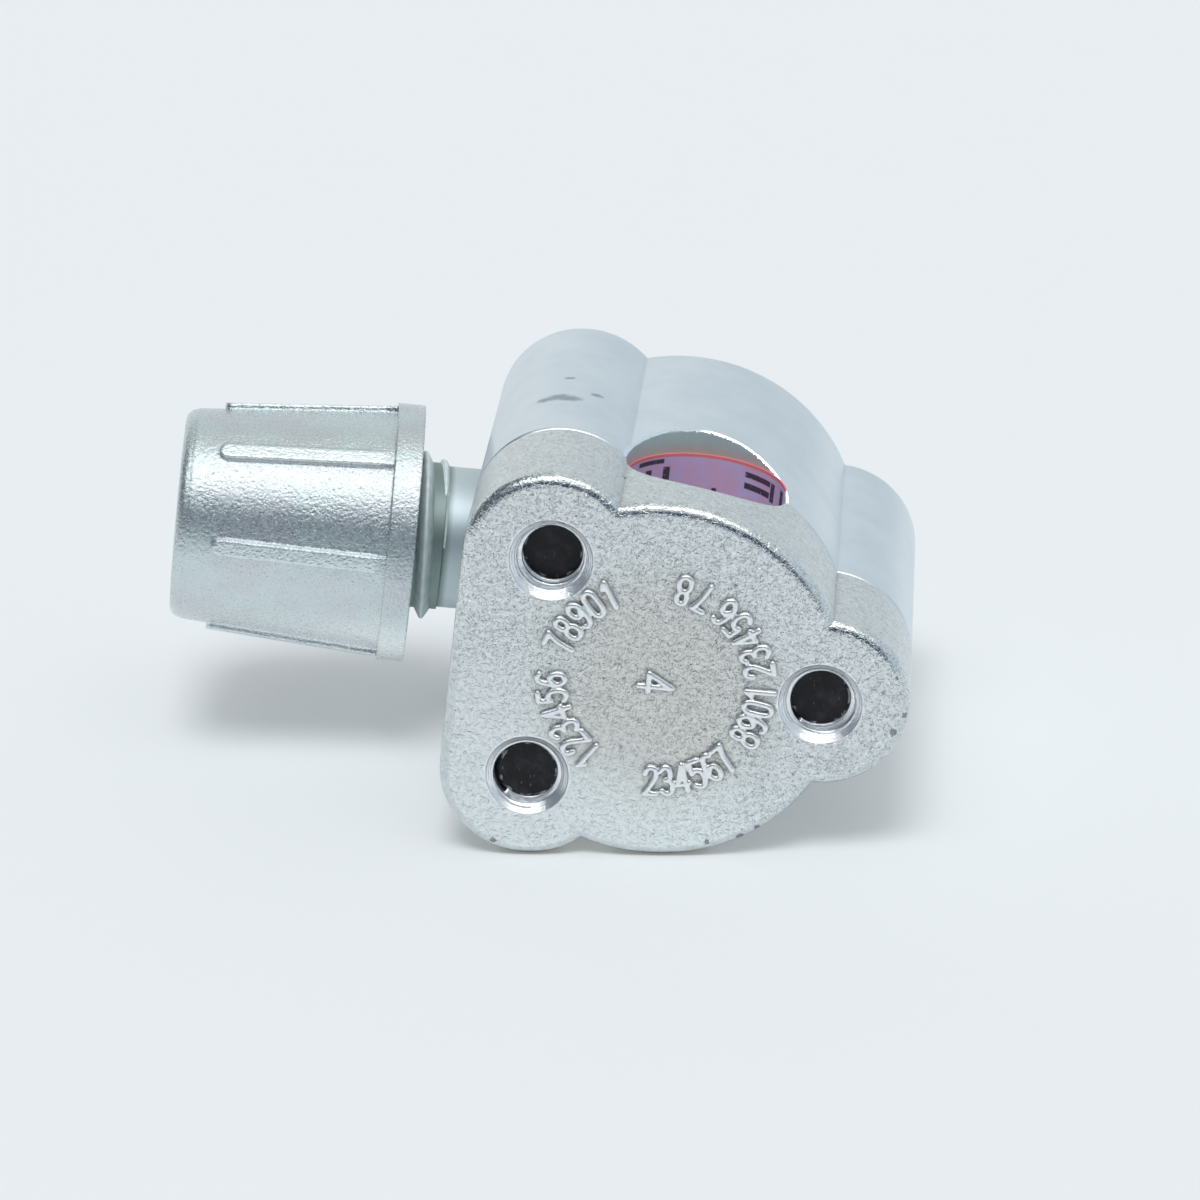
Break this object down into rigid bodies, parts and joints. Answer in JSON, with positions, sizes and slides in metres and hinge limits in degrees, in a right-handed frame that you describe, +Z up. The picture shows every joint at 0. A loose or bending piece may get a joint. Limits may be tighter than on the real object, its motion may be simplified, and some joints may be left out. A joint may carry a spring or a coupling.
{
  "type": "piercing valve",
  "caption": "Clamp-on piercing valve: two lobed castings bolted round a small tube, with a needle and a capped side port.",
  "frame": {"origin": "on the surface that the valve lies on, under the middle of its box", "axes": "+Z up; +Y from the clamp plate's front face to the back of the body; the capped port points to -X. The valve lies rolled a little about Y, on its main disc and its lower left lobe, as in the picture."},
  "size_m": [0.049, 0.0291, 0.0255],
  "materials": {
    "cast_zinc": "bright zinc die casting, grainy matt face with shiny rounded edges",
    "plated_zinc": "bright zinc plating with a fine sparkle",
    "black_steel": "black oxide, satin",
    "hard_steel": "ground and hardened",
    "washer_brass": "stamped, plain",
    "seal_rubber": "matt black rubber",
    "slip_card": "printed card, lavender with a red edge line and plain black marks"
  },
  "bodies": {
    "root": {"valve_body": "cast_zinc", "needle_o_ring": "seal_rubber", "o_ring_washer": "washer_brass", "needle_gasket": "seal_rubber", "printed_slip": "slip_card"},
    "plate": {"clamp_plate": "cast_zinc"},
    "screw_upper": {"clamp_screw_upper": "black_steel"},
    "screw_lower": {"clamp_screw_lower": "black_steel"},
    "screw_side": {"clamp_screw_side": "black_steel"},
    "cap_carrier": {"cap_seal": "seal_rubber"},
    "cap": {"port_cap": "plated_zinc"},
    "needle": {"piercing_needle": "hard_steel"},
    "drive": {"needle_drive_screw": "hard_steel"}
  },
  "joints": [
    {"name": "plate_travel", "type": "slide", "parent": "root", "child": "plate", "axis": [0, -1, 0], "range_m": [0, 0.00595]},
    {"name": "lower_screw_turn", "type": "hinge", "parent": "root", "child": "screw_lower", "pos_m": [0.00061, 0, 0.00555], "axis": [0, 1, 0], "range_deg": [0, 2700]},
    {"name": "upper_screw_turn", "type": "hinge", "parent": "root", "child": "screw_upper", "pos_m": [0.00248, 0, 0.01993], "axis": [0, 1, 0], "range_deg": [0, 2700]},
    {"name": "side_screw_turn", "type": "hinge", "parent": "root", "child": "screw_side", "pos_m": [0.01895, 0, 0.01048], "axis": [0, 1, 0], "range_deg": [0, 2700]},
    {"name": "cap_travel", "type": "slide", "parent": "root", "child": "cap_carrier", "axis": [-0.9874, -0.0924, 0.1282], "range_m": [0, 0.01016]},
    {"name": "cap_turn", "type": "hinge", "parent": "cap_carrier", "child": "cap", "pos_m": [-0.01976, 0.00447, 0.0155], "axis": [-0.9874, -0.0924, 0.1282], "range_deg": [0, 2880]},
    {"name": "needle_travel", "type": "slide", "parent": "root", "child": "needle", "axis": [0, -1, 0], "range_m": [0, 0.00279]},
    {"name": "drive_turn", "type": "hinge", "parent": "needle", "child": "drive", "pos_m": [0.01025, 0.01445, 0.01161], "axis": [0, -1, 0], "range_deg": [0, 950]}
  ],
  "couplings": [
    {"joint": "lower_screw_turn", "follows": "plate_travel", "rad_per_m": 7915.8},
    {"joint": "upper_screw_turn", "follows": "plate_travel", "rad_per_m": 7915.8},
    {"joint": "side_screw_turn", "follows": "plate_travel", "rad_per_m": 7915.8},
    {"joint": "cap_turn", "follows": "cap_travel", "rad_per_m": 4947.4},
    {"joint": "drive_turn", "follows": "needle_travel", "rad_per_m": 5936.9}
  ]
}
